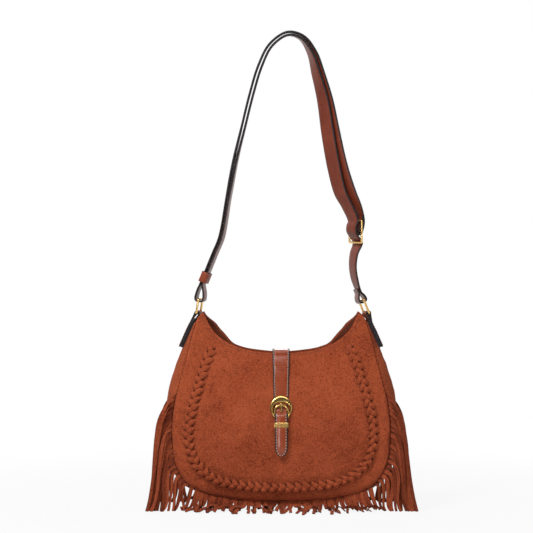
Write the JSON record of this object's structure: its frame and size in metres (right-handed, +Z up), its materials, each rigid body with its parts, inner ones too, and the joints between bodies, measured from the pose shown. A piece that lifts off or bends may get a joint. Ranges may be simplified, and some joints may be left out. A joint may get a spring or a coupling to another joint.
{
  "type": "fringed suede bag",
  "caption": "Slouchy suede shoulder bag with a braided border, long fringe, an adjustable doubled strap and a strap that closes over the open mouth.",
  "frame": {"origin": "centre of the bag's bounding box, on the surface that the fringe rests on", "axes": "+Z up along the hanging strap, +Y towards the back panel, +X along the mouth to the right as seen from the front"},
  "size_m": [0.34, 0.1648, 0.6166],
  "materials": {
    "suede": "napped suede",
    "fringe_suede": "napped suede",
    "braid_lace": "napped suede",
    "smooth_leather": "satin",
    "strap_leather": "satin",
    "facing_leather": "matt",
    "lining_cloth": "plain weave",
    "antique_gold": "antique",
    "pale_gold": "polished",
    "snap_metal": "satin"
  },
  "bodies": {
    "bag": {"front_panel": "suede", "back_panel": "suede", "gusset": "suede", "facing_front": "facing_leather", "facing_back": "facing_leather", "lining": "lining_cloth", "fringe_front": "fringe_suede", "fringe_back": "fringe_suede", "braid_lace": "braid_lace", "side_tab_left": "smooth_leather", "side_tab_right": "smooth_leather", "shoulder_strap": "strap_leather", "strap_slider": "pale_gold", "snap_socket": "snap_metal"},
    "closure": {"closure_strap": "smooth_leather", "closure_buckle": "antique_gold", "closure_prong": "antique_gold", "closure_keeper": "antique_gold", "snap_stud": "snap_metal"},
    "left_ring": {"ring_left": "pale_gold"},
    "right_ring": {"ring_right": "pale_gold"},
    "keeper": {"strap_keeper": "smooth_leather"}
  },
  "joints": [
    {"name": "closure_hinge", "type": "hinge", "parent": "bag", "child": "closure", "pos_m": [0, 0.0165, 0.2028], "axis": [-1, 0, 0], "range_deg": [0, 110]},
    {"name": "ring_left_swing", "type": "hinge", "parent": "bag", "child": "left_ring", "pos_m": [-0.10699, 0, 0.25229], "axis": [-0.204, -0.9786, 0.0287], "range_deg": [-5, 5]},
    {"name": "ring_right_swing", "type": "hinge", "parent": "bag", "child": "right_ring", "pos_m": [0.11098, 0, 0.25188], "axis": [0.2382, -0.9664, 0.0963], "range_deg": [-3, 3]},
    {"name": "keeper_slide", "type": "slide", "parent": "bag", "child": "keeper", "axis": [0.3762, 0, 0.9265], "range_m": [0, 0.035]}
  ]
}
